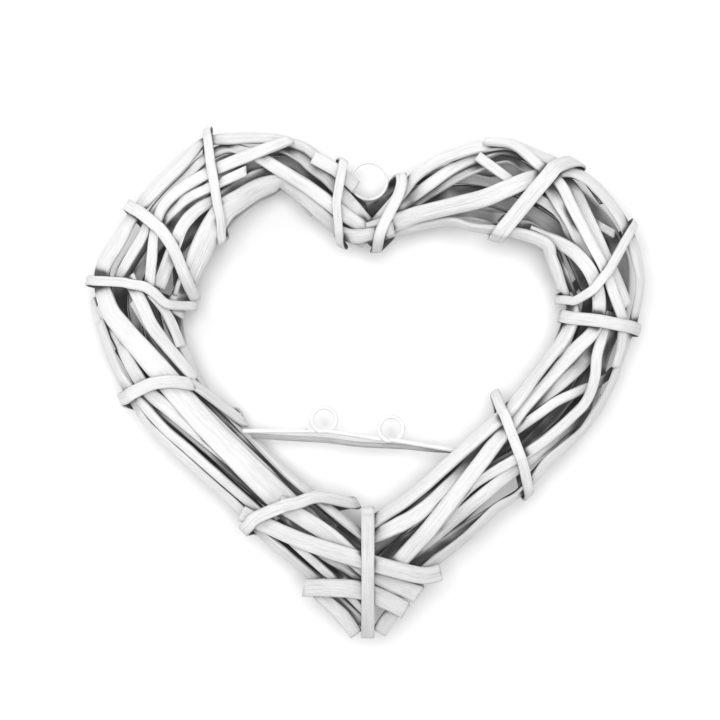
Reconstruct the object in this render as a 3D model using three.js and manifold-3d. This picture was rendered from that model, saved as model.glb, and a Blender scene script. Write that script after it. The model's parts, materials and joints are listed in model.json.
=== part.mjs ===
// White wicker heart lying on its back, front face up. Millimetres, +Y towards the cleft, +Z up.
import * as THREE from 'three';
import Module from 'manifold-3d';

// Driving sizes
const SPINE_HEIGHT = 21;
const NEIGHBOUR_GAP = 0.32;
const RING_SPACING = 10;
const CLEFT_RING_SPACING = 6.8;
const RING_WIRE = 1.5;
const BAR_WIRE = 2.1;
const STRAP_THICKNESS = 1.6;
const STRAP_SLACK = 0.15;
const STRAP_FLAT = 4;
const REST_DEPTH = 19.4;
const FIRST_DEPTH = 0.3;
const MAX_SINK_STEP = 2.6;
const SINK_STEP = 0.25;
const SIDE_STEP = 0.25;
const MAX_SHIFT = 22;
const MAX_SINK = 12.5;
const MAX_TRIES = 90;
const EDGE_SHARE = 0.98;
const MITRE_REACH = 9.8;
const MITRE_GAP = 0.18;
const BROAD_WIDTH = 7;

const WHITE_PAINT = 0xefeeea;
const SHADED_PAINT = 0xd9d7d1;
const WIRE_PAINT = 0xf2f2f0;
const BARE_ROD = 0xe3dccd;

// Middle line of the bound bundle: x, y, half width, half depth. Station 0 is the tip, station 9
// the cleft and station 21 the tip again after going round the right lobe.
const STATIONS = [
  [0.5, -88, 20, 17], [-29.5, -64.5, 17.3, 16], [-61.5, -36.5, 15.8, 14.8],
  [-89.5, -5.5, 16.3, 15], [-102.6, 38, 21.8, 17], [-90.2, 63.5, 22.5, 17.5],
  [-67, 90, 21.8, 17.5], [-36.2, 99.5, 13.3, 14], [-15.1, 82.7, 12.6, 12.8],
  [1.1, 72.5, 12, 12.8], [19.7, 82.3, 13.6, 13], [38.7, 89, 18.4, 15.8],
  [62, 89.6, 23.2, 17.5], [80.5, 83, 21.6, 17.5], [96.3, 70.3, 20.8, 17.5],
  [104.5, 52.5, 21.3, 17.5], [106.3, 34.5, 17, 16.5], [92.5, 1, 17.5, 15.8],
  [70.3, -24.5, 18.4, 15.8], [49, -43, 19.4, 16.2], [25.8, -64, 19.2, 16.8], [0.5, -87.5, 20, 17],
];

// Front canes, the topmost first: name, width at the start, width at the end, thickness, then x, y
// of the points where the middle line turns
const LEFT_CANES = [
  ['narrow_upper_cane', 4.6, 5.8, 2.2, [-96.5, 44.5], [-93.5, 74.5], [-88, 82.5], [-80, 89],
    [-65, 96.5], [-34.5, 109.5]],
  ['broad_cane', 13.8, 7, 1.8, [0, -82.5], [-17.5, -72], [-71, -18.5], [-111.5, 28.5], [-120, 41],
    [-118.5, 50.5], [-106, 73.5], [-98, 84], [-71.5, 110], [-46, 111], [-31, 109.5], [-14, 96.5]],
  ['crossing_cane', 4.4, 7.2, 2.2, [-112, 45], [-99, 67], [-95, 78], [-67, 106], [-58, 106],
    [-47, 101], [-25.5, 87.5], [-4, 71.5]],
  ['inner_broad_cane', 12.8, 7.4, 1.8, [-86, 31.5], [-69.5, 68.5], [-62.5, 78], [-47, 88.5],
    [-38, 90.5], [-30, 85], [-12, 69], [-3, 65]],
  ['narrow_lower_cane', 6.4, 4.6, 2.2, [-93, 43.5], [-81.5, 70.5], [-76, 77.5], [-62, 85.5],
    [-52, 93.5], [-42.5, 96.5]],
  ['narrow_middle_cane', 4.6, 4.6, 2.2, [-94.5, 68], [-83.5, 81], [-53.5, 95]],
  ['cleft_cane', 7, 7, 2.2, [-45.5, 106], [-38, 107], [-30, 103.5], [-15.5, 91], [-2, 74.5]],
  ['side_cane', 6.2, 5.8, 2.2, [-77, 2], [-94.5, 24], [-105.5, 48]],
  ['second_broad_cane', 7, 6.4, 2, [0, -88.5], [-9.5, -82.5], [-28, -62.5], [-46, -45],
    [-96.5, -4], [-103, 4.5], [-119.5, 36.5]],
  ['parallel_cane', 4.2, 4.2, 2.2, [-30, -65], [-92, -11], [-111.5, 16]],
  ['outer_lower_cane', 4.4, 4.4, 2.2, [-3, -98], [-30, -73], [-93.5, -16.5], [-107, 0], [-112, 8],
    [-119, 28]],
  ['outer_edge_cane', 5.8, 5.8, 2.2, [-1, -106], [-47, -66.5], [-57, -55.5], [-98, -18],
    [-114, 7.5], [-123.5, 38]],
  ['inner_edge_cane', 5.2, 5.2, 2.2, [-9.5, -61.5], [-37, -39.5], [-57, -20], [-78.5, 6.5],
    [-89, 30]],
  ['under_cane', 5.4, 5.8, 2, [-14, -66], [-38.5, -46], [-80, -5], [-103.5, 38]],
];
const RIGHT_CANES = [
  ['long_narrow_cane', 4.8, 4.8, 2.2, [53, 109], [62.5, 109.5], [85.5, 90], [106.5, 50],
    [113.5, 30], [114.5, 20], [111.5, 8]],
  ['broad_cane', 8.4, 7, 1.8, [1, 68.5], [24, 76], [51.5, 82.5], [77, 93], [88.5, 96], [99, 92],
    [113, 77], [118, 66], [122.5, 52.5], [123.5, 39], [112, 2.5], [105.5, -9.5], [97.5, -21],
    [78.5, -37.5], [71, -49], [60.5, -54], [40, -73], [32.5, -78], [3, -105]],
  ['inner_edge_cane', 6.4, 7.6, 2, [2.5, 65], [13, 69.5], [37.5, 73], [49, 70], [71.5, 67],
    [80.5, 62.5], [93, 30], [88.5, 21], [65.5, -9.5], [20.5, -49.5], [0, -63.5]],
  ['sweeping_cane', 5.8, 7.6, 2, [73, 69], [87.5, 62.5], [93.5, 58], [99, 51], [102.5, 42.5],
    [103.5, 32.5], [101, 24], [70.5, -9.5], [26.5, -66], [13.5, -80.5]],
  ['upright_cane', 4.6, 4.6, 2.2, [108.5, 32.5], [103, 14.5], [101, -3.5], [95, -11.5], [78.5, -26],
    [45, -46], [32, -62.5], [16, -78.5]],
  ['framing_cane', 4, 4.2, 2.2, [122.5, 33], [114.5, 7], [105.5, 1.5], [85, -7.5],
    [53.5, -30.5]],
  ['lower_broad_cane', 5.2, 7, 2.2, [112, 30], [106, 9], [103.5, -4], [102, -11.5], [56, -46],
    [28.5, -69.5], [14, -79.5], [2, -88]],
  ['crossing_cane', 6.4, 7, 2.2, [80, 91.5], [93, 69.5], [102, 50.5], [107.5, 31.5], [105.5, 22],
    [100, 13], [93, 5.5], [68, -15], [28, -54], [19, -60.5], [2.5, -68.5]],
  ['outer_lobe_cane', 5.8, 5.8, 2.2, [7.5, 76], [22, 93], [29.5, 98.5], [37.5, 102.5], [56, 107.5],
    [65, 107.5], [85, 99], [96.5, 96], [107, 81.5]],
  ['outer_shoulder_cane', 5.8, 5.2, 2.2, [11.5, 78], [41.5, 98.5], [49, 102], [62.5, 106], [70.5, 104],
    [87.5, 94], [93, 87.5], [116.5, 35.5]],
  ['upper_lobe_cane', 4.4, 4, 2.2, [19, 80], [43, 94], [56.5, 100], [64, 101.5], [70, 98], [89, 86.5],
    [97, 76], [104.5, 69], [111, 67]],
  ['inner_lobe_cane', 4.6, 4.6, 2.2, [49.5, 102], [69.5, 87], [83, 80], [88.5, 74.5], [95, 58]],
  ['inner_narrow_cane', 4.4, 4.4, 2.2, [60.5, 74.5], [77.5, 69.5], [83, 63.5], [93.5, 38]],
  ['lower_outer_cane', 5.8, 5.8, 2.2, [107.5, -5.5], [102, -15.5], [95, -23], [80.5, -35],
    [69.5, -48.5], [24, -78], [2, -97]],
];

// Canes behind: angle round the bundle, where 0 faces up and 90 is the outer edge, width, and how
// many stations short of the cleft they end. Each swings gently to both sides of its angle.
const BACK_CANES = [[193, 9, 0], [150, 8.5, 0], [220, 6.5, 1], [172.5, 5.2, 0]];
const BACK_THICKNESS = 2;
const BACK_SWING = 7;

// Short canes across the tip: width, thickness, then x, y, z of the middle line.
const TIP_SPLINTS = [
  ['tip_long_splint', 7.5, 2, [-56, -57.5, 31.5], [-30, -69, 36.3], [0, -78.5, 38.2],
    [24, -85, 34.2], [33, -84, 30.5]],
  ['tip_low_splint', 8, 2, [-28, -91, 31.2], [-3, -91.5, 35.4], [17.5, -101, 31.5]],
  ['tip_slanting_splint', 8, 2, [-39, -53, 33.5], [-16, -68, 33.4], [2, -84, 33.8],
    [23.5, -94, 30.2]],
  ['tip_left_point_splint', 6.5, 2, [-23, -92, 28.4], [-11.5, -103, 29.6], [-4.6, -112, 28]],
  ['tip_right_point_splint', 6.5, 2, [17, -97, 27.2], [10.5, -104, 27.8], [5.6, -111.5, 27.4]],
  ['tip_back_splint', 8, 2, [-40, -66, 8.5], [0, -82, 3.4], [26, -90, 8.5]],
  ['cleft_stub_cane', 6, 2.2, [-24, 101.5, 31.5], [-13, 95.5, 30], [-4.8, 88.5, 26.6]],
];

// Straps: name, width, whether the flat underside carries the heart, slack at the inner edge, then
// x, y of the middle of the strap on the front from the inner edge to the outer one; it comes back
// behind at its mean station.
const STRAPS = [
  ['strap_left_top', 5, true, 0, [-66, 61], [-65, 72], [-70, 106], [-70.5, 115]],
  ['strap_left_shoulder', 6, true, 0, [-79, 38], [-83.5, 55], [-86.5, 62.5], [-92, 69.5],
    [-99, 75.5], [-106.5, 79.5]],
  ['strap_left_side', 5.5, true, 1.5, [-88, 34], [-97, 43], [-109, 45.5], [-123.5, 46]],
  ['strap_left_lower', 6.5, false, 0, [-57, -19], [-67, -6.5], [-75.5, -2], [-84.5, 1],
    [-93.5, 1], [-107.5, -5.5]],
  ['strap_left_foot', 6.5, false, 4, [-8, -57.5], [-14, -52.5], [-21, -52], [-32.5, -53],
    [-41.5, -55], [-50, -59.5]],
  ['strap_right_top', 7, true, 0, [57.5, 66], [83, 95.5], [89.5, 99], [99, 100.5]],
  ['strap_right_shoulder', 6, true, 0.6, [94.5, 36], [102, 43], [107, 50.5], [117.5, 69.5],
    [120, 78.5]],
  ['strap_right_side', 6, true, 0, [90, 29.5], [105.5, 28], [119, 25.5]],
  ['strap_right_lower', 5, false, 4, [59, -4.5], [69.5, -35.5], [72.5, -51]],
  ['strap_cleft_left', 4.2, false, 0, [-10, 63.5], [-12, 70.5], [-15, 97.5]],
  ['strap_cleft_right', 5, false, 0, [4.5, 61], [9, 77], [18.5, 92]],
];
const TIP_STRAP_WIDTH = 6;

// Strips laid outside the canes: the bent tail of the left side strap, and the saddle under the
// cleft
const STRIPS = [
  ['strap_left_tail', 5, 5, 1.6, [-95.5, 41], [-88, 30.5], [-83, 16.5]],
  ['saddle_strip', 7, 7, 1.6, [-14, 69], [-7.5, 66.5], [-0.5, 65.5], [6, 67.5], [12, 70]],
];

// Hanging ring, and the crossbar with its eyes as x, y and radius
const RING_CENTRE = [1.1, 91.8];
const RING_RADIUS = 8.2;
const BAR_HEIGHT = 22;
const EYES = [[-19.2, -16, 5.5], [11.1, -20.2, 5.5]];
const BAR_LEFT_END = [-56, -21.2];
const BAR_RIGHT_END = [40, -29.9];
const EYE_LIFT = 1.5;
const ROD_DROP = 4.4;
const ROD = [[-52, -23.4, 1.2], [-34.1, -24.6, 2.6], [-18.3, -25.5, 3.4], [-2.9, -27.4, 3.4],
  [17, -28.4, 3], [28.7, -29.6, 2.4], [38.7, -30.2, 1.6]];

const wasm = await Module();
wasm.setup();

const UP = new THREE.Vector3(0, 0, 1);
const radians = THREE.MathUtils.degToRad;
const degrees = THREE.MathUtils.radToDeg;

function catmull(rows, position) {
  const last = rows.length - 1;
  const index = Math.min(Math.max(Math.floor(position), 0), last - 1);
  const f = position - index;
  const row = (i) => rows[Math.min(Math.max(i, 0), last)];
  const [a, b, c, d] = [row(index - 1), row(index), row(index + 1), row(index + 2)];
  return b.map((_, k) => 0.5 * (2 * b[k] + (c[k] - a[k]) * f
    + (2 * a[k] - 5 * b[k] + 4 * c[k] - d[k]) * f * f
    + (3 * b[k] - a[k] - 3 * c[k] + d[k]) * f * f * f));
}

// Place, outward direction and half sizes of the bundle at a station
function bundleAt(station) {
  const [x, y, halfWidth, halfDepth] = catmull(STATIONS, station);
  const before = catmull(STATIONS, Math.max(station - 0.02, 0));
  const after = catmull(STATIONS, Math.min(station + 0.02, STATIONS.length - 1));
  const along = new THREE.Vector3(after[0] - before[0], after[1] - before[1], 0).normalize();
  const outward = new THREE.Vector3(-along.y, along.x, 0);
  return { centre: new THREE.Vector3(x, y, SPINE_HEIGHT), along, outward, halfWidth, halfDepth };
}

const STEPS_PER_STATION = 40;
const LENGTHS = [0];
for (let i = 1; i <= (STATIONS.length - 1) * STEPS_PER_STATION; i += 1) {
  const here = bundleAt(i / STEPS_PER_STATION).centre;
  const there = bundleAt((i - 1) / STEPS_PER_STATION).centre;
  LENGTHS.push(LENGTHS[i - 1] + here.distanceTo(there));
}

function lengthAt(station) {
  const position = Math.min(Math.max(station * STEPS_PER_STATION, 0), LENGTHS.length - 1.001);
  const index = Math.floor(position);
  return LENGTHS[index] + (position - index) * (LENGTHS[index + 1] - LENGTHS[index]);
}

function stationAt(length) {
  let index = 0;
  while (index < LENGTHS.length - 2 && LENGTHS[index + 1] < length) index += 1;
  const f = (length - LENGTHS[index]) / (LENGTHS[index + 1] - LENGTHS[index]);
  return (index + f) / STEPS_PER_STATION;
}

// Station between two others where the middle line is nearest to a point
function nearestStation(x, y, from, to) {
  const search = (low, high, step) => {
    let best = low;
    let least = Infinity;
    for (let station = low; station <= high; station += step) {
      const { centre } = bundleAt(station);
      const distance = Math.hypot(centre.x - x, centre.y - y);
      if (distance < least) {
        least = distance;
        best = station;
      }
    }
    return best;
  };
  const rough = search(from, to, 0.25);
  return search(Math.max(rough - 0.25, from), Math.min(rough + 0.25, to), 0.01);
}

// A line drawn in x and y on the front, as rows of station and angle round the bundle
function readLine(points, from, to) {
  const steps = 6;
  const rows = [];
  for (let i = 0; i <= (points.length - 1) * steps; i += 1) {
    const index = Math.min(Math.floor(i / steps), points.length - 2);
    const f = i / steps - index;
    const x = points[index][0] + f * (points[index + 1][0] - points[index][0]);
    const y = points[index][1] + f * (points[index + 1][1] - points[index][1]);
    const station = nearestStation(x, y, from, to);
    const { centre, outward, halfWidth } = bundleAt(station);
    const lateral = (x - centre.x) * outward.x + (y - centre.y) * outward.y;
    const share = THREE.MathUtils.clamp(lateral / halfWidth, -EDGE_SHARE, EDGE_SHARE);
    rows.push([station, degrees(Math.asin(share))]);
  }
  return rows;
}

// Rows of a cane in order along the bundle
function canePath(points, from, to) {
  const rows = readLine(points, from, to).sort((a, b) => a[0] - b[0]);
  return rows.filter((row, i) => i === 0 || row[0] - rows[i - 1][0] > 0.015);
}

// Value of a curve given as rows of [position, value], smooth between the rows
function along(rows, position) {
  let index = 0;
  while (index < rows.length - 2 && rows[index + 1][0] < position) index += 1;
  const span = rows[index + 1][0] - rows[index][0];
  const f = Math.min(Math.max((position - rows[index][0]) / span, 0), 1);
  return catmull(rows.map((row) => [row[1]]), index + f)[0];
}

function solidFrom(positions, triangles) {
  const geometry = new THREE.BufferGeometry();
  geometry.setAttribute('position', new THREE.Float32BufferAttribute(positions, 3));
  geometry.setIndex(triangles);
  return geometry;
}

function manifoldFrom(geometry) {
  return new wasm.Manifold(new wasm.Mesh({
    numProp: 3,
    vertProperties: new Float32Array(geometry.attributes.position.array),
    triVerts: new Uint32Array(geometry.index.array),
  }));
}

// Skin over equal rings of points, closed by flat caps or joined end to end
function skin(rings, closed) {
  const count = rings[0].length;
  const positions = rings.flat().flatMap((point) => [point.x, point.y, point.z]);
  const triangles = [];
  const bands = closed ? rings.length : rings.length - 1;
  for (let i = 0; i < bands; i += 1) {
    const next = (i + 1) % rings.length;
    for (let j = 0; j < count; j += 1) {
      const k = (j + 1) % count;
      const corners = [i * count + j, i * count + k, next * count + k, next * count + j];
      triangles.push(corners[0], corners[1], corners[2], corners[0], corners[2], corners[3]);
    }
  }
  if (!closed) {
    const end = (rings.length - 1) * count;
    for (let j = 1; j < count - 1; j += 1) {
      triangles.push(0, j + 1, j, end, end + j, end + j + 1);
    }
  }
  const geometry = solidFrom(positions, triangles);
  if (manifoldFrom(geometry).volume() > 0) return geometry;
  for (let i = 0; i < triangles.length; i += 3) {
    [triangles[i + 1], triangles[i + 2]] = [triangles[i + 2], triangles[i + 1]];
  }
  return solidFrom(positions, triangles);
}

// Section of a split cane: broad ones bend round the bundle, narrow ones are flat with eased edges
function caneSection(width, thickness, radius, broad) {
  if (broad) {
    const drop = (width * width) / (8 * radius);
    return [[-width / 2, -thickness / 2 - drop], [0, -thickness / 2],
      [width / 2, -thickness / 2 - drop], [width / 2 - 0.4, thickness / 2 - drop],
      [0, thickness / 2], [-width / 2 + 0.4, thickness / 2 - drop]];
  }
  return [[-width / 2, -thickness / 2], [width / 2, -thickness / 2],
    [width * 0.36, thickness / 2], [-width * 0.36, thickness / 2]];
}

function caneRings(cane, extra) {
  const points = cane.rings.map((ring) => {
    const { centre, outward, halfWidth, halfDepth } = bundleAt(ring.station);
    const angle = radians(ring.angle + ring.shift);
    const inset = cane.thickness / 2 + FIRST_DEPTH;
    const lateral = halfWidth * Math.sin(angle);
    const rise = (halfDepth - inset) * Math.cos(angle) - Math.sign(Math.cos(angle)) * ring.sink;
    const point = centre.clone().addScaledVector(outward, lateral).addScaledVector(UP, rise);
    const normal = outward.clone().multiplyScalar(Math.sin(angle) / halfWidth)
      .addScaledVector(UP, Math.cos(angle) / halfDepth).normalize();
    return { point, normal };
  });
  return sweepRings(points, cane, extra, (i) => {
    const { halfWidth, halfDepth } = bundleAt(cane.rings[i].station);
    return (halfWidth + halfDepth) / 2;
  });
}

// Rings of a section carried along points that each have an outward normal
function sweepRings(points, cane, extra, radiusAt) {
  const last = points.length - 1;
  return points.map(({ point, normal }, i) => {
    const before = points[Math.max(i - 1, 0)].point;
    const after = points[Math.min(i + 1, last)].point;
    const tangent = after.clone().sub(before).normalize();
    const side = normal.clone().cross(tangent).normalize();
    const top = tangent.clone().cross(side).normalize();
    const width = cane.startWidth + ((cane.endWidth - cane.startWidth) * i) / last + extra;
    const broad = Math.max(cane.startWidth, cane.endWidth) > BROAD_WIDTH;
    const section = caneSection(width, cane.thickness + extra, radiusAt(i), broad);
    return section.map(([across, out]) => (
      point.clone().addScaledVector(side, across).addScaledVector(top, out)));
  });
}

function centreOf(ring) {
  return ring.reduce((sum, point) => sum.add(point), new THREE.Vector3())
    .divideScalar(ring.length);
}

// Slides an end ring that lies near the middle along its cane, to an upright plane beside x = 0
function mitre(rings, end, next) {
  const centre = centreOf(rings[end]);
  const course = centreOf(rings[next]).sub(centre).normalize();
  if (Math.abs(centre.x) > MITRE_REACH || Math.abs(course.x) < 0.3) return rings[end];
  const x = Math.sign(centreOf(rings[next]).x) * MITRE_GAP;
  return rings[end].map((point) => (
    point.clone().addScaledVector(course, (x - point.x) / course.x)));
}

const placed = [];

function overlaps(manifold, box) {
  const hits = [];
  for (const other of placed) {
    if (!other.box.intersectsBox(box)) continue;
    const shared = manifold.intersect(other.manifold);
    if (!shared.isEmpty() && shared.volume() > 0.002) {
      const vertices = shared.getMesh().vertProperties;
      const points = [];
      for (let i = 0; i < vertices.length; i += 3) {
        points.push(new THREE.Vector3(vertices[i], vertices[i + 1], vertices[i + 2]));
      }
      hits.push(points);
    }
    shared.delete();
  }
  return hits;
}

function place(name, geometry, colour, roughness, rings) {
  geometry.computeBoundingBox();
  const manifold = manifoldFrom(geometry);
  placed.push({ name, geometry, manifold, box: geometry.boundingBox.clone(), colour, roughness,
    rings });
}

function cutEnds(rings) {
  const last = rings.length - 1;
  return [mitre(rings, 0, 1), ...rings.slice(1, last), mitre(rings, last, last - 1)];
}

// Stations of the rings of a cane, closer together where the bundle bends into the cleft
function ringStations(from, to) {
  const weightAt = (length) => {
    const station = stationAt(length);
    return 1 / (station > 6.6 && station < 10.4 ? CLEFT_RING_SPACING : RING_SPACING);
  };
  const slices = 400;
  const sums = [0];
  for (let i = 0; i < slices; i += 1) {
    const length = from + ((to - from) * (i + 0.5)) / slices;
    sums.push(sums[i] + (weightAt(length) * (to - from)) / slices);
  }
  const count = Math.max(2, Math.round(sums[slices]));
  const stations = [];
  for (let i = 0; i <= count; i += 1) {
    const wanted = (sums[slices] * i) / count;
    let index = 0;
    while (index < slices - 1 && sums[index + 1] < wanted) index += 1;
    const f = (wanted - sums[index]) / (sums[index + 1] - sums[index]);
    stations.push(stationAt(from + ((to - from) * (index + f)) / slices));
  }
  return stations;
}

// Lays a cane on the bundle. Wherever another already lies there it sinks towards the hollow
// middle; a cane behind also gives way sideways when the other touches its edge.
function layCane(name, startWidth, endWidth, thickness, path, colour, yields) {
  const from = lengthAt(path[0][0]);
  const to = lengthAt(path[path.length - 1][0]);
  const cane = { startWidth, endWidth, thickness, rings: [] };
  for (const station of ringStations(from, to)) {
    cane.rings.push({ station, angle: along(path, station), sink: 0, shift: 0 });
  }
  const reach = RING_SPACING * 0.55 + Math.max(startWidth, endWidth) / 2;
  for (let tries = 0; tries < MAX_TRIES; tries += 1) {
    const loose = skin(cutEnds(caneRings(cane, 2 * NEIGHBOUR_GAP)), false);
    loose.computeBoundingBox();
    const manifold = manifoldFrom(loose);
    const hits = overlaps(manifold, loose.boundingBox);
    manifold.delete();
    if (hits.length === 0) break;
    const centres = cutEnds(caneRings(cane, 0)).map(centreOf);
    for (const hit of hits) {
      centres.forEach((centre, i) => {
        const near = hit.filter((point) => point.distanceTo(centre) < reach);
        if (near.length > 0) giveWay(cane.rings[i], centreOf(near).sub(centre), startWidth, yields);
      });
    }
    for (let pass = 0; pass < 3; pass += 1) {
      for (let i = 1; i < cane.rings.length; i += 1) {
        const [a, b] = [cane.rings[i - 1], cane.rings[i]];
        a.sink = Math.max(a.sink, b.sink - MAX_SINK_STEP);
        b.sink = Math.max(b.sink, a.sink - MAX_SINK_STEP);
      }
    }
  }
  const rings = cutEnds(caneRings(cane, 0));
  const stations = cane.rings.map((ring) => ring.station);
  place(name, skin(rings, false), colour, 0.72, { rings, stations });
}

function giveWay(ring, offset, width, yields) {
  const { outward, halfWidth } = bundleAt(ring.station);
  const angle = radians(ring.angle + ring.shift);
  const round = outward.clone().multiplyScalar(Math.cos(angle))
    .addScaledVector(UP, -Math.sin(angle));
  const aside = offset.dot(round) / width;
  if (yields && Math.abs(aside) > 0.22 && Math.abs(ring.shift) < MAX_SHIFT) {
    ring.shift -= degrees((Math.sign(aside) * SIDE_STEP) / halfWidth);
  }
  if (ring.sink < MAX_SINK) ring.sink += SINK_STEP;
}

// Round wire or rod along points; the frame is carried without twist
function wireAlong(points, diameters, sides, closed) {
  const last = points.length - 1;
  let normal = UP.clone();
  const rings = points.map((point, i) => {
    const before = closed ? points[(i + last) % (last + 1)] : points[Math.max(i - 1, 0)];
    const after = closed ? points[(i + 1) % (last + 1)] : points[Math.min(i + 1, last)];
    const tangent = after.clone().sub(before).normalize();
    normal = normal.clone().addScaledVector(tangent, -normal.dot(tangent)).normalize();
    const side = tangent.clone().cross(normal);
    const radius = diameters[Math.min(i, diameters.length - 1)] / 2;
    return Array.from({ length: sides }, (_, k) => {
      const angle = ((k + 0.5) * 2 * Math.PI) / sides;
      return point.clone().addScaledVector(normal, Math.cos(angle) * radius)
        .addScaledVector(side, Math.sin(angle) * radius);
    });
  });
  return skin(rings, closed);
}

function hullOf(points) {
  const sorted = points.slice().sort((a, b) => a[0] - b[0] || a[1] - b[1]);
  const turn = (o, a, b) => (a[0] - o[0]) * (b[1] - o[1]) - (a[1] - o[1]) * (b[0] - o[0]);
  const chain = (list) => {
    const out = [];
    for (const point of list) {
      while (out.length > 1 && turn(out[out.length - 2], out[out.length - 1], point) <= 0) out.pop();
      out.push(point);
    }
    return out.slice(0, -1);
  };
  return [...chain(sorted), ...chain(sorted.slice().reverse())];
}

// Moves every side of a hull outwards by a distance
function grow(hull, distance) {
  return hull.map((point, i) => {
    const before = hull[(i + hull.length - 1) % hull.length];
    const after = hull[(i + 1) % hull.length];
    const first = new THREE.Vector2(point[1] - before[1], before[0] - point[0]).normalize();
    const second = new THREE.Vector2(after[1] - point[1], point[0] - after[0]).normalize();
    const middle = first.clone().add(second).normalize();
    const reach = distance / Math.max(middle.dot(first), 0.35);
    return [point[0] + middle.x * reach, point[1] + middle.y * reach];
  });
}

// Leaves out hull corners that lie close together, then grows what is left past every corner
function fit(points, spacing) {
  const hull = hullOf(points);
  const kept = [];
  for (const point of hull) {
    const last = kept[kept.length - 1];
    const near = last && Math.hypot(point[0] - last[0], point[1] - last[1]) < spacing;
    if (!near) kept.push(point);
  }
  let outside = 0;
  kept.forEach((point, i) => {
    const after = kept[(i + 1) % kept.length];
    const normal = new THREE.Vector2(after[1] - point[1], point[0] - after[0]).normalize();
    for (const [x, y] of hull) {
      outside = Math.max(outside, (x - point[0]) * normal.x + (y - point[1]) * normal.y);
    }
  });
  return grow(kept, outside);
}

// Station of a point on one of the short canes at the tip or in the cleft
function stationNear(point) {
  if (point.y > 0) return nearestStation(point.x, point.y, 6, 9);
  if (point.x > 0) return nearestStation(point.x, point.y, 17, 21);
  return nearestStation(point.x, point.y, 0, 4);
}

// Corner points of every cane, many to each edge, with the station they lie at
function caneSamples() {
  const samples = [];
  for (const { rings: shape } of placed) {
    if (!shape) continue;
    for (let i = 1; i < shape.rings.length; i += 1) {
      for (let j = 0; j < shape.rings[i].length; j += 1) {
        for (let f = 0; f <= 1; f += 0.125) {
          const point = shape.rings[i - 1][j].clone().lerp(shape.rings[i][j], f);
          const station = Math.abs(shape.stations[i] - shape.stations[i - 1]) < 3
            ? shape.stations[i - 1] + f * (shape.stations[i] - shape.stations[i - 1])
            : stationNear(point);
          samples.push({ point, station });
        }
      }
    }
  }
  return samples;
}

function strapLoop(width, rests, slack, points, from, to, samples) {
  const line = readLine(points, from, to);
  const path = line.map(([station, angle], i) => {
    const { halfWidth, halfDepth } = bundleAt(station);
    if (i === 0) return [station, -90];
    if (i === line.length - 1) return [station, 90];
    return [station, degrees(Math.atan2(halfWidth * Math.sin(radians(angle)),
      halfDepth * Math.cos(radians(angle))))];
  }).sort((a, b) => a[1] - b[1]);
  const mean = path.reduce((sum, row) => sum + row[0], 0) / path.length;
  const rows = path.map(([station, angle]) => [angle, lengthAt(station)]);
  const behind = lengthAt(mean);
  const middleAt = (angle) => {
    if (Math.abs(angle) <= 90) return along(rows, angle);
    const f = (180 - Math.abs(angle)) / 90;
    const edge = angle > 0 ? rows[rows.length - 1][1] : rows[0][1];
    return behind + (edge - behind) * f * f * (3 - 2 * f);
  };
  const flat = [];
  for (const { point, station } of samples) {
    const { centre, outward } = bundleAt(station);
    const lateral = point.clone().sub(centre).dot(outward);
    const rise = point.z - SPINE_HEIGHT;
    const angle = degrees(Math.atan2(lateral, rise));
    if (Math.abs(lengthAt(station) - middleAt(angle)) < width / 2 + 2) flat.push([lateral, rise]);
  }
  if (rests) flat.push([-STRAP_FLAT, -REST_DEPTH], [STRAP_FLAT, -REST_DEPTH]);
  if (slack > 0) {
    const edge = Math.min(...flat.map(([lateral]) => lateral));
    flat.push([edge - slack, 2], [edge - slack, -4]);
  }
  const hull = fit(flat, 2.2);
  const inner = grow(hull, NEIGHBOUR_GAP + STRAP_SLACK);
  const outer = grow(hull, NEIGHBOUR_GAP + STRAP_SLACK + STRAP_THICKNESS);
  const rings = hull.map((_, i) => {
    const angle = degrees(Math.atan2(hull[i][0], hull[i][1]));
    const middle = middleAt(angle);
    const corner = ([lateral, rise], offset) => {
      const { centre, outward } = bundleAt(stationAt(middle + offset));
      const point = centre.clone().addScaledVector(outward, lateral).addScaledVector(UP, rise);
      return point.setZ(Math.max(point.z, 0));
    };
    return [corner(inner[i], -width / 2), corner(inner[i], width / 2),
      corner(outer[i], width / 2), corner(outer[i], -width / 2)];
  });
  return skin(rings, true);
}

// Upright strap round the tip, in the plane where the two bundles meet
function tipStrap(samples) {
  const flat = samples.filter(({ point }) => Math.abs(point.x - 0.6) < TIP_STRAP_WIDTH / 2 + 1.5
    && point.y < -40).map(({ point }) => [point.y, point.z]);
  const low = Math.min(...flat.map(([y]) => y));
  flat.push([low + 14, SPINE_HEIGHT - REST_DEPTH], [low + 26, SPINE_HEIGHT - REST_DEPTH]);
  const hull = fit(flat, 2.2);
  const inner = grow(hull, NEIGHBOUR_GAP + STRAP_SLACK);
  const outer = grow(hull, NEIGHBOUR_GAP + STRAP_SLACK + STRAP_THICKNESS);
  const corner = ([y, z], x) => new THREE.Vector3(x, y, Math.max(z, 0));
  const rings = hull.map((_, i) => [corner(inner[i], 0.6 - TIP_STRAP_WIDTH / 2),
    corner(inner[i], 0.6 + TIP_STRAP_WIDTH / 2), corner(outer[i], 0.6 + TIP_STRAP_WIDTH / 2),
    corner(outer[i], 0.6 - TIP_STRAP_WIDTH / 2)]);
  return skin(rings, true);
}

// Hanging ring in the cleft, then the crossbar with two eyes turned in the wire
const ringPoints = Array.from({ length: 24 }, (_, i) => {
  const angle = (i * Math.PI) / 12;
  return new THREE.Vector3(RING_CENTRE[0] + RING_RADIUS * Math.cos(angle),
    RING_CENTRE[1] + RING_RADIUS * Math.sin(angle), SPINE_HEIGHT);
});
place('hanging_ring', wireAlong(ringPoints, [RING_WIRE], 6, true), WIRE_PAINT, 0.45, null);

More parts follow.
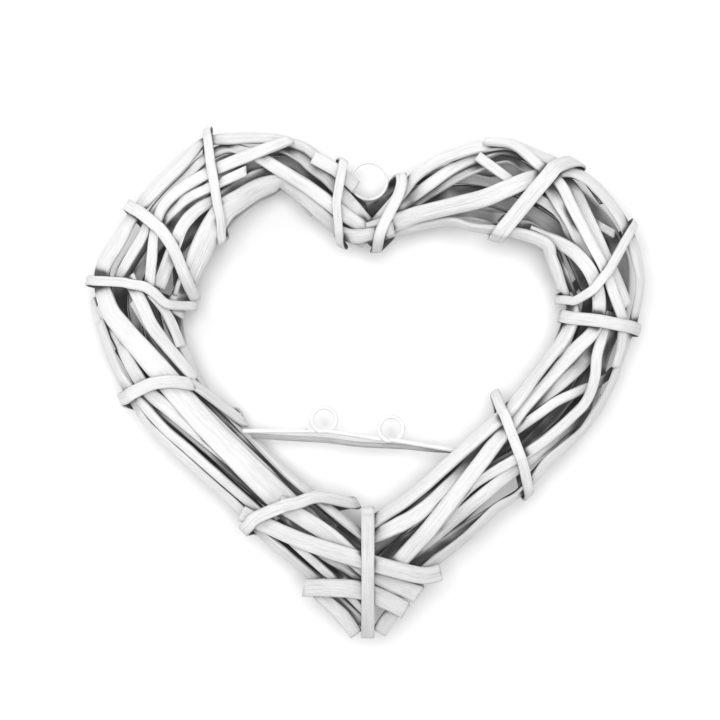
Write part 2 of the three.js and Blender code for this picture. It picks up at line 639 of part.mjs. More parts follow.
const barPoints = [new THREE.Vector3(...BAR_LEFT_END, BAR_HEIGHT)];
for (const [x, y, radius] of EYES) {
  for (let i = 0; i <= 15; i += 1) {
    const angle = -Math.PI / 2 - 0.35 + (i * (2 * Math.PI + 0.7)) / 15;
    const lift = (i / 7.5 - 1) * EYE_LIFT;
    barPoints.push(new THREE.Vector3(x + radius * Math.cos(angle), y + radius * Math.sin(angle),
      BAR_HEIGHT + lift));
  }
}
barPoints.push(new THREE.Vector3(...BAR_RIGHT_END, BAR_HEIGHT));
place('crossbar_wire', wireAlong(barPoints, [BAR_WIRE], 5, false), WIRE_PAINT, 0.45, null);

const rodPoints = ROD.map(([x, y]) => new THREE.Vector3(x, y, BAR_HEIGHT - ROD_DROP));
place('crossbar_rod', wireAlong(rodPoints, ROD.map((row) => row[2]), 6, false), BARE_ROD, 0.7, null);

for (const [name, width, thickness, ...path] of TIP_SPLINTS) {
  const count = (path.length - 1) * 2;
  const points = Array.from({ length: count + 1 }, (_, i) => {
    const [x, y, z] = catmull(path, i / 2);
    return { point: new THREE.Vector3(x, y, z), normal: z > SPINE_HEIGHT ? UP : UP.clone().negate() };
  });
  const cane = { startWidth: width, endWidth: width, thickness };
  const rings = sweepRings(points, cane, 0, () => 24);
  const stations = points.map(({ point }) => stationNear(point));
  place(name, skin(rings, false), WHITE_PAINT, 0.72, { rings, stations });
}

for (const [name, startWidth, endWidth, thickness, ...points] of STRIPS) {
  layCane(name, startWidth, endWidth, thickness, canePath(points, 3, 11), WHITE_PAINT, false);
}

for (const [side, canes, start, end, phase] of [['left', LEFT_CANES, 0.3, 8.9, 0.4],
  ['right', RIGHT_CANES, 9.1, 20.7, 1.9]]) {
  for (const [name, startWidth, endWidth, thickness, ...points] of canes) {
    const path = canePath(points, start - 0.3, end + 0.1);
    layCane(`${side}_${name}`, startWidth, endWidth, thickness, path, WHITE_PAINT, false);
  }
  BACK_CANES.forEach(([angle, width, short], i) => {
    const from = side === 'left' ? start : start + short;
    const to = side === 'left' ? end - short : end;
    const path = [];
    for (let k = 0; k <= 6; k += 1) {
      const station = from + ((to - from) * k) / 6;
      path.push([station, angle + BACK_SWING * Math.sin(station * 0.9 + phase + i * 2.1)]);
    }
    layCane(`${side}_back_cane_${i + 1}`, width, width, BACK_THICKNESS, path, SHADED_PAINT, true);
  });
}

const samples = caneSamples();
for (const [name, width, rests, slack, ...points] of STRAPS) {
  const [from, to] = points[0][0] < 0 ? [0.3, 8.9] : [9.1, 20.7];
  place(name, strapLoop(width, rests, slack, points, from, to, samples), WHITE_PAINT, 0.68, null);
}
place('strap_tip', tipStrap(samples), WHITE_PAINT, 0.68, null);

const whole = placed.reduce((box, { geometry }) => {
  geometry.computeBoundingBox();
  return box.union(geometry.boundingBox);
}, new THREE.Box3());
const middle = whole.getCenter(new THREE.Vector3());

const heart = new THREE.Group();
heart.name = 'wicker_heart';
for (const { name, geometry, colour, roughness } of placed) {
  geometry.translate(-middle.x, -middle.y, -whole.min.z);
  geometry.computeVertexNormals();
  const material = new THREE.MeshStandardMaterial({ color: colour, roughness, metalness: 0 });
  const mesh = new THREE.Mesh(geometry, material);
  mesh.name = name;
  heart.add(mesh);
}

export default heart;
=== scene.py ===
import itertools
import json
import math

import bpy
import numpy as np
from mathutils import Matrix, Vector
from mathutils.bvhtree import BVHTree


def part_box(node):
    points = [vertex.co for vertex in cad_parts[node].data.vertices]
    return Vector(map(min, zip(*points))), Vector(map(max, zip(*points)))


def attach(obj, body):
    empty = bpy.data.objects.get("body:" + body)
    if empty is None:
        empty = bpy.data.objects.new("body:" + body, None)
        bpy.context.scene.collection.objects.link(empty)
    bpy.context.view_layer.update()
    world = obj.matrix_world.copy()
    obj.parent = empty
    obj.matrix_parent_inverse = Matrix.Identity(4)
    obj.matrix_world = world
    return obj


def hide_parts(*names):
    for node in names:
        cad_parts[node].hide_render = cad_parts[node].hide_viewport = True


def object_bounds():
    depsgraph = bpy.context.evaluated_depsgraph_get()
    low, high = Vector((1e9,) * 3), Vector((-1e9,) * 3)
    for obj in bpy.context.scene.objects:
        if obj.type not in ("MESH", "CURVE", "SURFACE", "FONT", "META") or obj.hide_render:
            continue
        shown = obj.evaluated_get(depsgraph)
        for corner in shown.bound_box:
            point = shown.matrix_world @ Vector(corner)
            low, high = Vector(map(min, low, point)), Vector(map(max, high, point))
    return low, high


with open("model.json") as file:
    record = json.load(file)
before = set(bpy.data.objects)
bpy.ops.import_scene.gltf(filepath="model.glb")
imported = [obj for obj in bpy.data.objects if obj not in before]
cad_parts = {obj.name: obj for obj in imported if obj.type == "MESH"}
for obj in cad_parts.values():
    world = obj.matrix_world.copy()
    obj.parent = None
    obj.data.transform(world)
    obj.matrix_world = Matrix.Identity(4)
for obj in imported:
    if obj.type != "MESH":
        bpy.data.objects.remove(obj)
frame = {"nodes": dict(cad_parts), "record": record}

# Lengths are in metres, apart from the camera's lens and sensor, which are in millimetres.
# The camera stands straight above the lying heart, as in the photograph.
FRAME_WIDTH = 0.3255
LENS = 100.0
SENSOR = 36.0
AIM = (-0.0018, 0.0095, 0.021)

# Fineness of the sweeps, and how flat the section of a split cane is on each side
CANE_STEP = 0.0013
CANE_SIDES = 24
WIRE_STEP = 0.0008
WIRE_SIDES = 14
RING_STATIONS = 72
STRAP_THICKNESS = 0.0016
ROUNDING_EDGE = 0.50
ROUNDING_TOP = 0.58
ROUNDING_UNDER = 0.40

# Points of a solid are one where they lie in the same cell of a grid, with this many cells a metre
CELLS_PER_METRE = 1e6

# A strap's section is looked for among this many of its shortest edges
CLOSEST_EDGES = 40

# A direction that neither wire follows, from which the turn of a wire's section starts
OFF_WIRE = (0.31, 0.2, 0.93)

# Every fine point stays this far inside the box of the solids
SKIN = 0.00002

# How unevenly canes, straps and wires are made, where 1 is a hand-split cane
ROUGH_CANE = 1.0
ROUGH_STRAP = 0.6
ROUGH_WIRE = 0.3
ROUGH_RING = 0.2

# Slow changes along a cane: the distance between two random values, and their size
WIDTH_SPACING = 0.03
WIDTH_CHANGE = 0.06
TILT_SPACING = 0.04
TILT_CHANGE = 0.10
RIDGE_SPACING = 0.05
RIDGE_DRIFT = 1.5

# Lengthwise ridges, knots and skewed ends
RIDGE_WAVES = 3
RIDGE_HEIGHT = 0.05
KNOT_SPACING = 0.12
KNOT_LENGTH = 0.002
KNOT_WIDENING = 0.05
KNOT_THICKENING = 0.12
END_SKEW = 0.4
MAX_END_SKEW = 0.0009
STRAIGHT_ACROSS = 0.98

# Where the grain of a piece starts is drawn from this length, and its ends show grain of their own
GRAIN_START = 40
END_GRAIN_SHIFT = 0.3
END_GRAIN_SIZE = 0.004

# Painted shade in the gaps between canes: points that see little of the outside take a dark bare grey,
# which stands for both wood the paint missed and painted shade
GAP_SHADE_START = 0.16
GAP_SHADE_FULL = 0.52

# How a point looks for the outside
LOOK_COUNT = 14
LOOK_SPREAD = 0.94
GOLDEN_TURN = 2.39996
SEE_DISTANCE = 0.07
SEE_START = 0.0007
FLOOR_LOOK = -0.05
FLOOR_SHARE = 0.45
LIGHT_REACH_ROWS = 4
LIGHT_REACH_COLUMNS = 2

# Painted shade darkens the tip from here to the very end
TIP_SHADE_START = -0.035
TIP_SHADE_END = -0.105
TIP_SHADE = 0.82

# Paint on willow: noise scales along and across the grain, per metre, then tones and relief
GRAIN_SCALE = (45.0, 1900.0, 1.0)
BROAD_SCALE = (14.0, 420.0, 1.0)
FIBRE_SCALE = (110.0, 5200.0, 1.0)
BLOTCH_SCALE = 55.0
BLOTCH_REACH = 0.12
LINE_TONE = (0.42, 0.42, 0.41)
FIBRE_TONE = (0.55, 0.55, 0.54)
FIBRE_SHARE = 0.42
# Grey that painted shade takes the most hidden canes down to
DEEP_SHADE = 0.74
WOOD_LIFT = 1.7
WILLOW_BUMP = 0.8
WILLOW_RELIEF = 0.0009

# Greys of the paint, of its streaks and of the dark bare grey that is also painted shade in the gaps,
# and how strongly the thin lines show
WILLOWS = {
    "cane_paint": (0.93, 0.82, 0.06, 0.50),
    # Back canes: a darker copy of the cane paint, painted shade for canes lying deeper
    "back_cane_paint": (0.80, 0.64, 0.05, 0.55),
    "strap_paint": (0.92, 0.78, 0.08, 0.55),
    # The rod's greys are lowered so it reads as the line of shadow under the wire: painted shadow
    "bare_rod": (0.60, 0.42, 0.16, 0.60),
}

# Paint on wire: greys of the paint, of its thin places and of chips, then relief
WIRE_GREY = 0.86
WIRE_THIN_GREY = 0.76
WIRE_CHIP_GREY = 0.30
WIRE_BUMP = 0.25
WIRE_RELIEF = 0.0002

# Studio: world light, floor and two disk lights as name, place, size and power
WORLD_LIGHT = 0.50
FLOOR_HALF = 3
FLOOR_HEIGHT = -0.0002
LIGHTS = (
    ("overhead", (0.0, 0.1, 1.5), 0.9, 16.5),
    ("side", (-0.8, 0.7, 0.9), 0.5, 3.5),
)

SEED = 20


def box_of(bounds):
    return [[float(v) for v in corner] for corner in bounds]


cad_box = box_of(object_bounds())

camera_data = bpy.data.cameras.new("camera")
camera_data.lens = LENS
camera_data.sensor_width = SENSOR
camera_data.clip_start = 0.01
camera = bpy.data.objects.new("camera", camera_data)
camera.location = (AIM[0], AIM[1], AIM[2] + FRAME_WIDTH * LENS / SENSOR)
bpy.context.scene.collection.objects.link(camera)
bpy.context.scene.camera = camera


def unit(vectors):
    """Vectors made one long."""
    return vectors / np.maximum(np.linalg.norm(vectors, axis=-1, keepdims=True), 1e-12)


def welded(node):
    """Points and triangles of a node, with points that lie in one place joined."""
    mesh = node.data
    co = np.empty(len(mesh.vertices) * 3)
    mesh.vertices.foreach_get("co", co)
    co = co.reshape(-1, 3)
    _, first, inverse = np.unique(np.round(co * CELLS_PER_METRE).astype(np.int64), axis=0,
                                  return_index=True, return_inverse=True)
    inverse = inverse.ravel()
    faces = [[int(inverse[v]) for v in p.vertices] for p in mesh.polygons]
    return co[first], faces


def neighbours_of(count, faces):
    """For each point, the set of points that share an edge with it."""
    near = [set() for _ in range(count)]
    for face in faces:
        for k, v in enumerate(face):
            near[v].update((face[k - 1], face[(k + 1) % len(face)]))
    return near


def walk(near, first, second):
    """Rings that follow each other from two that are known."""
    rings = [first, second]
    used = first | second
    while True:
        after = set().union(*(near[v] for v in rings[-1])) - used
        if not after:
            return rings
        if len(after) != len(first):
            return None
        rings.append(after)
        used |= after


def parts_of(near, vertices):
    """Splits a set of points into groups that hang together."""
    left = set(vertices)
    parts = []
    while left:
        part = {left.pop()}
        edge = set(part)
        while edge:
            edge = {n for v in edge for n in near[v] if n in left}
            left -= edge
            part |= edge
        parts.append(part)
    return parts


def open_rings(near):
    """Rings of a cane with two flat ends. Most corners of an end have fewer neighbours than the rest."""
    wider = [set().union(n, *(near[v] for v in n)) for n in near]
    for part in parts_of(wider, [v for v, n in enumerate(near) if len(n) < 6]):
        around = sorted(set().union(*(near[v] for v in part)) - part)
        for extra in range(3):
            for added in itertools.combinations(around, extra):
                first = part | set(added)
                second = set().union(*(near[v] for v in first)) - first
                if len(first) not in (4, 5, 6) or len(second) != len(first):
                    continue
                rings = walk(near, first, second)
                if rings and sum(map(len, rings)) == len(near):
                    return rings
    return None


def closed_rings(near, points):
    """Rings of a strap, which comes back to its start. A section has four corners and no diagonal."""
    order = sorted(((a, b) for a, n in enumerate(near) for b in n if a < b),
                   key=lambda e: np.linalg.norm(points[e[0]] - points[e[1]]))
    for a, b in order[:CLOSEST_EDGES]:
        for c in near[b] - {a} - near[a]:
            for d in (near[a] & near[c]) - {b} - near[b]:
                first = {a, b, c, d}
                beside = parts_of(near, set().union(*(near[v] for v in first)) - first)
                if sorted(map(len, beside)) != [4, 4]:
                    continue
                rings = walk(near, first, beside[0])
                if rings is None:
                    rings = walk_round(near, first, beside[0], beside[1])
                if rings and sum(map(len, rings)) == len(near):
                    return rings
    return None


def walk_round(near, first, second, last):
    """Rings of a strap from first round to last, which lies beside first on its other side."""
    rings = [first, second]
    used = first | second | last
    while True:
        after = set().union(*(near[v] for v in rings[-1])) - used
        if not after:
            return rings + [last]
        if len(after) != 4:
            return None
        rings.append(after)
        used |= after


def directions(centres, closed):
    """Direction of a middle line at each of its points."""
    if closed:
        return unit(np.roll(centres, -1, axis=0) - np.roll(centres, 1, axis=0))
    return unit(np.gradient(centres, axis=0))


def measure_cane(points, rings):
    """Middle line, outward direction, width, thickness and bend of a cane at each ring."""
    corners = [points[sorted(ring)] for ring in rings]
    centres = np.array([c.mean(axis=0) for c in corners])
    rows = []
    previous = None
    for corner, centre, tangent in zip(corners, centres, directions(centres, False)):
        rel = corner - centre
        rel = rel - np.outer(rel @ tangent, tangent)
        axes = np.linalg.svd(rel)[2]
        across = axes[0] - tangent * (axes[0] @ tangent)
        across = across / np.linalg.norm(across)
        if previous is not None and across @ previous < 0:
            across = -across
        previous = across
        out = np.cross(tangent, across)
        a, o = rel @ across, rel @ out
        if len(corner) == 6:
            inner = np.argsort(np.abs(a))[:2]
            outer = [k for k in range(6) if k not in inner]
            lift = o[inner].mean()
            bend = lift - o[outer].mean()
            thickness = np.ptp(o[inner])
            side = bend
        else:
            upper = o > 0
            lift = bend = 0.0
            thickness = o[upper].mean() - o[~upper].mean()
            side = np.ptp(a[~upper]) - np.ptp(a[upper])
        rows.append((centre + out * lift, out, np.ptp(a), thickness, bend, side))
    sign = math.copysign(1.0, sum(row[5] for row in rows))
    return {
        "centre": np.array([row[0] for row in rows]),
        "out": np.array([row[1] * sign for row in rows]),
        "width": np.array([row[2] for row in rows]),
        "thickness": np.array([row[3] for row in rows]),
        "bend": np.array([abs(row[4]) for row in rows]),
    }


def measure_strap(points, rings, near):
    """The same for a strap. Its width lies along the bundle, so the long sides of a ring give it."""
    centres = np.array([points[sorted(ring)].mean(axis=0) for ring in rings])
    tangents = directions(centres, True)
    wide = []
    for ring in rings:
        pairs = itertools.combinations(sorted(ring), 2)
        sides = [points[b] - points[a] for a, b in pairs if b in near[a]]
        sides = sorted(sides, key=np.linalg.norm)[-2:]
        if wide and sides[0] @ wide[-1] < 0:
            sides[0] = -sides[0]
        if not wide or sides[0] @ wide[-1] >= 0:
            sides[1] = sides[1] * math.copysign(1.0, sides[1] @ sides[0])
        wide.append((sides[0] + sides[1]) / 2)
    wide = np.array(wide)
    wide = wide - tangents * np.sum(wide * tangents, axis=1, keepdims=True)
    widths = np.linalg.norm(wide, axis=1)
    for _ in range(2):
        wide = (np.roll(wide, 1, axis=0) + 2 * wide + np.roll(wide, -1, axis=0)) / 4
    across = unit(wide - tangents * np.sum(wide * tangents, axis=1, keepdims=True))
    out = np.cross(tangents, across)
    sign = math.copysign(1.0, np.sum((centres - centres.mean(axis=0)) * out))
    count = len(rings)
    return {
        "centre": centres,
        "out": out * sign,
        "width": np.full(count, np.median(widths)),
        "thickness": np.full(count, STRAP_THICKNESS),
        "bend": np.zeros(count),
    }


def measure_wire(centres, radius, closed):
    """The same for a round wire, turned as little as possible from ring to ring."""
    tangents = directions(centres, closed)
    out = [np.cross(tangents[0], OFF_WIRE)]
    for tangent in tangents[1:]:
        out.append(out[-1] - tangent * (out[-1] @ tangent))
    count = len(centres)
    return {
        "centre": centres,
        "out": unit(np.array(out)),
        "width": np.full(count, 2 * radius),
        "thickness": np.full(count, 2 * radius),
        "bend": np.zeros(count),
    }


def spline(values, position, closed):
    """Smooth values between rings, at ring numbers that need not be whole."""
    count = len(values)
    index = np.floor(position).astype(int)
    f = (position - index).reshape((-1,) + (1,) * (values.ndim - 1))
    if closed:
        pick = [values[(index + k) % count] for k in (-1, 0, 1, 2)]
    else:
        padded = np.concatenate([[2 * values[0] - values[1]], values, [2 * values[-1] - values[-2]]])
        index = np.clip(index, 0, count - 2)
        f = (position - index).reshape((-1,) + (1,) * (values.ndim - 1))
        pick = [padded[index + k] for k in (0, 1, 2, 3)]
    a, b, c, d = pick
    return 0.5 * (2 * b + (c - a) * f + (2 * a - 5 * b + 4 * c - d) * f ** 2
                  + (3 * b - a - 3 * c + d) * f ** 3)


def positions_for(centres, closed, step):
    """Ring numbers at even steps along the middle line."""
    ends = np.concatenate([centres, centres[:1]]) if closed else centres
    lengths = np.concatenate([[0], np.cumsum(np.linalg.norm(np.diff(ends, axis=0), axis=1))])
    count = max(6, int(lengths[-1] / step))
    wanted = np.linspace(0, lengths[-1], count + 1)
    if closed:
        wanted = wanted[:-1]
    return np.interp(wanted, lengths, np.arange(len(ends))), wanted


def wander(rng, length, scale, size, closed):
    """Slow random change along a cane, from minus size to size."""
    count = max(4, int(length[-1] / scale) + 2)
    values = rng.uniform(-size, size, count)
    share = length / length[-1]
    if closed:
        return spline(values, share * (1 - 1 / len(length)) * count, True)
    return spline(values, share * (count - 1), False)


def section(sides, is_round):
    """Corners of a unit section: round for a wire, else bark side up and split side down."""
    angle = (np.arange(sides) + 0.5) * 2 * np.pi / sides
    c, s = np.cos(angle), np.sin(angle)
    if is_round:
        return np.stack([c, s], axis=1) * 0.5
    power = np.where(s > 0, ROUNDING_TOP, ROUNDING_UNDER)
    a = np.sign(c) * np.abs(c) ** ROUNDING_EDGE
    o = np.sign(s) * np.abs(s) ** power
    return np.stack([a, o], axis=1) * 0.5


def sweep(name, rows, closed, rng, rough, is_round=False):
    """Fine mesh of one cane, strap or wire. Returns the piece, its points and its middle line."""
    sides = WIRE_SIDES if is_round else CANE_SIDES
    position, length = positions_for(rows["centre"], closed, WIRE_STEP if is_round else CANE_STEP)
    centre = spline(rows["centre"], position, closed)
    tangent = directions(centre, closed)
    across = unit(np.cross(spline(rows["out"], position, closed), tangent))
    out = np.cross(tangent, across)
    width = spline(rows["width"], position, closed)
    thickness = spline(rows["thickness"], position, closed)
    bend = np.maximum(spline(rows["bend"], position, closed), 0)
    corner = section(sides, is_round)
    width = width * (1 + rough * wander(rng, length, WIDTH_SPACING, WIDTH_CHANGE, closed))
    tilt = rough * wander(rng, length, TILT_SPACING, TILT_CHANGE, closed)[:, None]
    level = across
    across = level * np.cos(tilt) - out * np.sin(tilt)
    out = out * np.cos(tilt) + level * np.sin(tilt)
    # Lengthwise ridges left by splitting, which drift a little, and a knot now and then
    ridges = np.zeros((len(length), sides))
    for _ in range(RIDGE_WAVES):
        turns = rng.integers(3, 8)
        phase = rng.uniform(0, 6.3) + wander(rng, length, RIDGE_SPACING, RIDGE_DRIFT, closed)
        ridges += np.sin(np.arange(sides)[None, :] * 2 * np.pi * turns / sides + phase[:, None])
    knots = np.zeros_like(length)
    if not closed:
        for place in rng.uniform(0, length[-1], max(1, int(length[-1] / KNOT_SPACING))):
            knots += np.exp(-((length - place) / KNOT_LENGTH) ** 2)
    a = corner[None, :, 0] * (width * (1 + KNOT_WIDENING * rough * knots))[:, None]
    o = corner[None, :, 1] * (thickness * (1 + KNOT_THICKENING * rough * knots))[:, None]
    o = o * (1 + RIDGE_HEIGHT * rough * ridges) - bend[:, None] * (2 * corner[None, :, 0]) ** 2
    points = centre[:, None, :] + across[:, None, :] * a[..., None] + out[:, None, :] * o[..., None]
    if not closed and not is_round:
        # Ends are cut a little askew, apart from those that point almost straight left or right
        for index in (0, -1):
            shift = np.clip(a[index] * rng.uniform(-END_SKEW, END_SKEW), -MAX_END_SKEW, MAX_END_SKEW)
            if abs(tangent[index][0]) < STRAIGHT_ACROSS:
                points[index] += tangent[index][None, :] * shift[:, None]
    points = np.clip(points, np.array(cad_box[0]) + SKIN, np.array(cad_box[1]) - SKIN)
    count = len(points)
    rings = [[i * sides + j for j in range(sides)] for i in range(count)]
    girth = np.linalg.norm(np.diff(np.concatenate([corner, corner[:1]]), axis=0), axis=1)
    girth = np.concatenate([[0], np.cumsum(girth)]) * float(width.mean())
    start = rng.uniform(0, GRAIN_START)
    along = start + np.append(length, length[-1] + length[1])
    faces = []
    uvs = []
    for i in range(count if closed else count - 1):
        ring, after = rings[i], rings[(i + 1) % count]
        for j in range(sides):
            k = (j + 1) % sides
            faces.append((ring[j], ring[k], after[k], after[j]))
            uvs += [(along[i], girth[j]), (along[i], girth[j + 1]),
                    (along[i + 1], girth[j + 1]), (along[i + 1], girth[j])]
    if not closed:
        for ring, order in ((rings[0], range(sides - 1, -1, -1)), (rings[-1], range(sides))):
            faces.append(tuple(ring[j] for j in order))
            middle = start + END_GRAIN_SHIFT
            uvs += [(middle + corner[j][0] * END_GRAIN_SIZE, corner[j][1] * END_GRAIN_SIZE)
                    for j in order]
    mesh = bpy.data.meshes.new(name)
    mesh.from_pydata(points.reshape(-1, 3).tolist(), [], faces)
    mesh.uv_layers.new(name="UVMap").data.foreach_set("uv", np.array(uvs, dtype=np.float32).ravel())
    mesh.polygons.foreach_set("use_smooth", [len(face) == 4 for face in faces])
    mesh.update()
    piece = bpy.data.objects.new(name, mesh)
    bpy.context.scene.collection.objects.link(piece)
    return piece, points, centre


# Directions in which a point looks for the outside, spread evenly over the half sphere
LOOKS = []
for k in range(LOOK_COUNT):
    rise = 1 - (k + 0.5) / LOOK_COUNT * LOOK_SPREAD
    turn = k * GOLDEN_TURN
    flat = math.sqrt(1 - rise * rise)
    LOOKS.append((flat * math.cos(turn), flat * math.sin(turn), rise))


def seen_share(tree, point, normal):
    """Share of directions in which a point sees past the canes; one to the floor counts for less."""
    helper = Vector((0.3, 0.9, 0.2)) if abs(normal.x) > 0.7 else Vector((1.0, 0.1, 0.3))
    first = normal.cross(helper).normalized()
    second = normal.cross(first)
    start = point + normal * SEE_START
    total = 0.0
    for x, y, z in LOOKS:
        look = first * x + second * y + normal * z
        hit = tree.ray_cast(start, look, SEE_DISTANCE)
        if hit[0] is None:
            total += 1.0 if look.z > FLOOR_LOOK else FLOOR_SHARE
    return total / len(LOOKS)


def store_light_reach(piece, points, centre, tree, closed):
    """Stores how much of the outside each point sees, worked out on a coarser grid; the willow materials
    turn it into painted shade.
    """
    count, sides = points.shape[:2]
    rows = list(range(0, count, LIGHT_REACH_ROWS))
    if not closed and rows[-1] != count - 1:
        rows.append(count - 1)
    columns = list(range(0, sides, LIGHT_REACH_COLUMNS))
    grid = np.zeros((len(rows), len(columns)))
    for r, i in enumerate(rows):
        along = centre[min(i + 1, count - 1)] - centre[max(i - 1, 0)]
        for c, j in enumerate(columns):
            normal = np.cross(points[i, (j + 1) % sides] - points[i, j - 1], along)
            grid[r, c] = seen_share(tree, Vector(points[i, j]), Vector(normal).normalized())
    wide = np.stack([grid, (grid + np.roll(grid, -1, axis=1)) / 2], axis=2).reshape(len(rows), -1)
    places = list(rows)
    if closed:
        places.append(count)
        wide = np.concatenate([wide, wide[:1]])
    full = np.stack([np.interp(np.arange(count), places, wide[:, j]) for j in range(sides)], axis=1)
    attribute = piece.data.attributes.new("light_reach", "FLOAT", "POINT")
    attribute.data.foreach_set("value", full.ravel().astype(np.float32))


class Nodes:
    """Shorthand for building a node material."""

    def __init__(self, name):
        self.material = bpy.data.materials.new(name)
        self.material.use_nodes = True
        self.tree = self.material.node_tree
        self.shader = self.tree.nodes["Principled BSDF"]

    def add(self, kind, **values):
        node = self.tree.nodes.new(kind)
        for key, value in values.items():
            setattr(node, key, value)
        return node

    def link(self, a, b):
        self.tree.links.new(a, b)

    def scaled(self, source, scale):
        mapping = self.add("ShaderNodeMapping")
        mapping.inputs["Scale"].default_value = scale
        self.link(source, mapping.inputs["Vector"])
        return mapping.outputs["Vector"]

    def noise(self, vector, scale, detail=4.0, rough=0.55):
        node = self.add("ShaderNodeTexNoise")
        node.inputs["Scale"].default_value = scale
        node.inputs["Detail"].default_value = detail
        node.inputs["Roughness"].default_value = rough
        self.link(vector, node.inputs["Vector"])
        return node.outputs["Fac"]

    def ramp(self, factor, stops):
        node = self.add("ShaderNodeValToRGB")
        while len(node.color_ramp.elements) < len(stops):
            node.color_ramp.elements.new(0.5)
        for element, (place, tone) in zip(node.color_ramp.elements, stops):
            element.position = place
            element.color = (tone, tone, tone, 1.0)
        self.link(factor, node.inputs["Fac"])
        return node.outputs["Color"]

    def mix(self, factor, a, b, blend="MIX"):
        node = self.add("ShaderNodeMix", data_type="RGBA", blend_type=blend)
        for socket, value in ((node.inputs["Factor"], factor), (node.inputs["A"], a),
                              (node.inputs["B"], b)):
            if isinstance(value, (int, float)):
                socket.default_value = value
            elif isinstance(value, tuple):
                socket.default_value = (*value, 1.0)
            else:
                self.link(value, socket)
        return node.outputs["Result"]

    def math(self, operation, a, b):
        node = self.add("ShaderNodeMath", operation=operation)
        for socket, value in zip(node.inputs, (a, b)):
            if isinstance(value, (int, float)):
                socket.default_value = value
            else:
                self.link(value, socket)
        return node.outputs["Value"]

    def bump(self, height, strength, distance):
        node = self.add("ShaderNodeBump")
        node.inputs["Strength"].default_value = strength
        node.inputs["Distance"].default_value = distance
        self.link(height, node.inputs["Height"])
        self.link(node.outputs["Normal"], self.shader.inputs["Normal"])


def grey(value):
    return (value, value, value)


def willow(name, paint, streak, shaded_bare, thin):
    """White paint on split willow: long grain, thin places, and a dark bare grey where a point sees
    little of the outside, which is painted shade in the gaps as well as wood the paint missed.
    """
    n = Nodes(name)
    uv = n.add("ShaderNodeTexCoord").outputs["UV"]
    grain = n.noise(n.scaled(uv, GRAIN_SCALE), 1.0, 5.0, 0.6)
    broad = n.noise(n.scaled(uv, BROAD_SCALE), 1.0, 3.0)
    blotch = n.noise(n.add("ShaderNodeTexCoord").outputs["Object"], BLOTCH_SCALE, 3.0)
    light_reach = n.add("ShaderNodeAttribute", attribute_name="light_reach").outputs["Fac"]
    blotchy_light_reach = n.math("ADD", light_reach, n.math("MULTIPLY", n.math("SUBTRACT", blotch, 0.5), BLOTCH_REACH))
    # Painted shade in the gaps: where a point sees little of the outside, the colour goes over to the
    # dark bare grey
    out_of_gap_shade = n.add("ShaderNodeMapRange", interpolation_type="SMOOTHSTEP")
    out_of_gap_shade.inputs["From Min"].default_value = GAP_SHADE_START
    out_of_gap_shade.inputs["From Max"].default_value = GAP_SHADE_FULL
    n.link(blotchy_light_reach, out_of_gap_shade.inputs["Value"])
    white = n.mix(n.ramp(broad, [(0.35, 0.0), (0.75, 1.0)]), grey(paint), grey(streak))
    lines = n.ramp(grain, [(0.30, 1.0), (0.44, 0.0)])
    white = n.mix(n.math("MULTIPLY", lines, thin), white, LINE_TONE)
    fibre = n.noise(n.scaled(uv, FIBRE_SCALE), 1.0, 4.0, 0.7)
    white = n.mix(n.ramp(fibre, [(0.34, FIBRE_SHARE), (0.56, 0.0)]), white, FIBRE_TONE)
    # Painted shade: canes that see less of the outside are darkened
    white = n.mix(1.0, white, n.ramp(light_reach, [(0.30, DEEP_SHADE), (0.78, 1.0)]), "MULTIPLY")
    # Painted shade: the tip is darkened towards its end
    place = n.add("ShaderNodeSeparateXYZ")
    n.link(n.add("ShaderNodeTexCoord").outputs["Object"], place.inputs["Vector"])
    foot = n.add("ShaderNodeMapRange")
    foot.inputs["From Min"].default_value = TIP_SHADE_END
    foot.inputs["From Max"].default_value = TIP_SHADE_START
    n.link(place.outputs["Y"], foot.inputs["Value"])
    tip_shade = n.ramp(foot.outputs["Result"], [(0.0, TIP_SHADE), (1.0, 1.0)])
    white = n.mix(1.0, white, tip_shade, "MULTIPLY")
    # The dark bare grey: wood the paint missed, darkened as painted shade in the gaps
    bare_and_shade = n.mix(n.ramp(grain, [(0.35, 0.0), (0.7, 1.0)]), grey(shaded_bare), grey(shaded_bare * WOOD_LIFT))
    colour = n.mix(out_of_gap_shade.outputs["Result"], bare_and_shade, white)
    n.link(colour, n.shader.inputs["Base Color"])
    n.link(n.ramp(grain, [(0.2, 0.82), (0.8, 0.62)]), n.shader.inputs["Roughness"])
    height = n.math("ADD", n.math("MULTIPLY", grain, 1.0), n.math("MULTIPLY", broad, 0.9))
    height = n.math("ADD", height, n.math("MULTIPLY", fibre, 0.35))
    n.bump(height, WILLOW_BUMP, WILLOW_RELIEF)
    return n.material


def wire_paint(name):
    """White paint on drawn wire, thin in places, with small chips."""
    n = Nodes(name)
    place = n.add("ShaderNodeTexCoord").outputs["Object"]
    spots = n.noise(place, 900.0, 4.0)
    cloud = n.noise(place, 160.0, 3.0)
    paint = n.mix(n.ramp(cloud, [(0.35, 0.0), (0.7, 1.0)]), grey(WIRE_GREY), grey(WIRE_THIN_GREY))
    chips = n.ramp(spots, [(0.27, 1.0), (0.32, 0.0)])
    n.link(n.mix(chips, paint, grey(WIRE_CHIP_GREY)), n.shader.inputs["Base Color"])
    n.link(n.ramp(cloud, [(0.2, 0.32), (0.8, 0.5)]), n.shader.inputs["Roughness"])
    n.bump(n.math("ADD", spots, cloud), WIRE_BUMP, WIRE_RELIEF)
    return n.material


MATERIALS = {name: willow(name, *greys) for name, greys in WILLOWS.items()}
MATERIALS["wire_paint"] = wire_paint("wire_paint")

slot_of = {row["node"]: row["material_slot"] for row in frame["record"]["subparts"]}

shapes = {name: welded(node) for name, node in frame["nodes"].items()}
all_points = []
all_faces = []
for points, faces in shapes.values():
    start = len(all_points)
    all_points += [Vector(p) for p in points]
    all_faces += [[v + start for v in face] for face in faces]
tree = BVHTree.FromPolygons(all_points, all_faces)

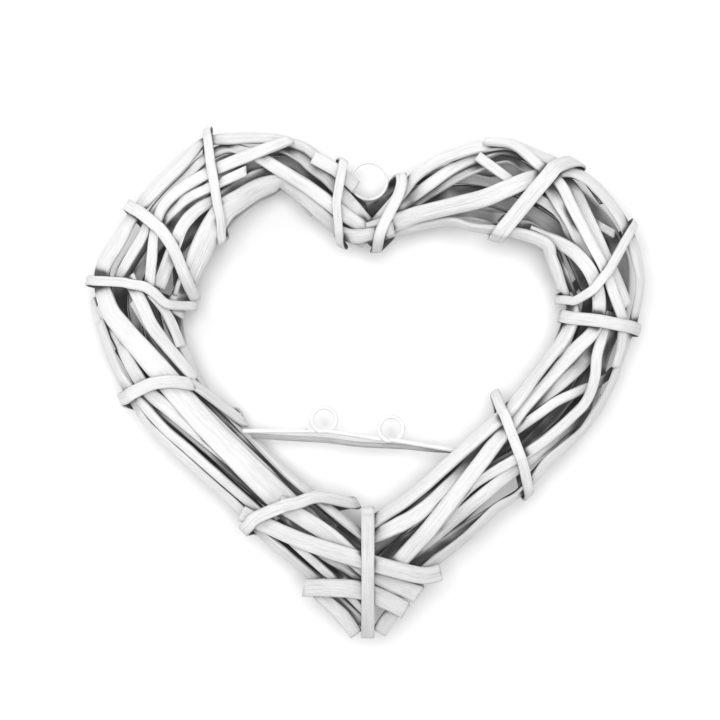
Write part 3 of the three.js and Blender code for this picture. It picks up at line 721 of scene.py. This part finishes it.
rng = np.random.default_rng(SEED)
for name in sorted(shapes):
    points, faces = shapes[name]
    near = neighbours_of(len(points), faces)
    rough = ROUGH_CANE
    if name == "hanging_ring":
        low, high = (np.array(corner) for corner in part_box(name))
        radius = (high[2] - low[2]) / 2
        turn = np.linspace(0, 2 * np.pi, RING_STATIONS, endpoint=False)[:, None]
        loop = (high[0] - low[0]) / 2 - radius
        centres = (low + high) / 2 + loop * (np.cos(turn) * (1, 0, 0) + np.sin(turn) * (0, 1, 0))
        rows = measure_wire(centres, radius, True)
        closed = True
        is_round = True
        rough = ROUGH_RING
    else:
        rings = open_rings(near)
        closed = rings is None
        is_round = name.startswith("crossbar")
        if closed:
            rows = measure_strap(points, closed_rings(near, points), near)
            rough = ROUGH_STRAP
        elif is_round:
            centres = np.array([points[sorted(ring)].mean(axis=0) for ring in rings])
            radius = np.mean([np.linalg.norm(points[sorted(ring)] - centre, axis=1).mean()
                              for ring, centre in zip(rings, centres)])
            rows = measure_wire(centres, radius, False)
            rough = ROUGH_WIRE
        else:
            rows = measure_cane(points, rings)
    piece, fine, centre = sweep(name + "_fine", rows, closed, rng, rough, is_round)
    store_light_reach(piece, fine, centre, tree, closed)
    piece.data.materials.append(MATERIALS[slot_of[name]])
    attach(piece, "root")
    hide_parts(name)

# Plain pale floor and soft studio light
floor_mesh = bpy.data.meshes.new("floor")
corners = ((-1, -1), (1, -1), (1, 1), (-1, 1))
floor_points = [(x * FLOOR_HALF, y * FLOOR_HALF, FLOOR_HEIGHT) for x, y in corners]
floor_mesh.from_pydata(floor_points, [], [(0, 1, 2, 3)])
floor = bpy.data.objects.new("floor", floor_mesh)
bpy.context.scene.collection.objects.link(floor)
floor_look = Nodes("floor")
floor_grain = floor_look.noise(floor_look.add("ShaderNodeTexCoord").outputs["Object"], 30.0)
floor_look.link(floor_look.ramp(floor_grain, [(0.3, 0.93), (0.7, 0.95)]),
                floor_look.shader.inputs["Base Color"])
floor_look.shader.inputs["Roughness"].default_value = 0.9
floor_mesh.materials.append(floor_look.material)

world = bpy.data.worlds.new("studio")
world.use_nodes = True
world.node_tree.nodes["Background"].inputs["Color"].default_value = (1.0, 1.0, 1.0, 1.0)
world.node_tree.nodes["Background"].inputs["Strength"].default_value = WORLD_LIGHT
bpy.context.scene.world = world

for name, place, size, power in LIGHTS:
    light = bpy.data.lights.new(name, "AREA")
    light.shape = "DISK"
    light.size = size
    light.energy = power
    lamp = bpy.data.objects.new(name, light)
    lamp.location = place
    lamp.rotation_euler = (Vector((0, 0, 0)) - Vector(place)).to_track_quat("-Z", "Y").to_euler()
    bpy.context.scene.collection.objects.link(lamp)

view = bpy.context.scene.view_settings
view.view_transform = "Standard"
view.exposure = 0.0
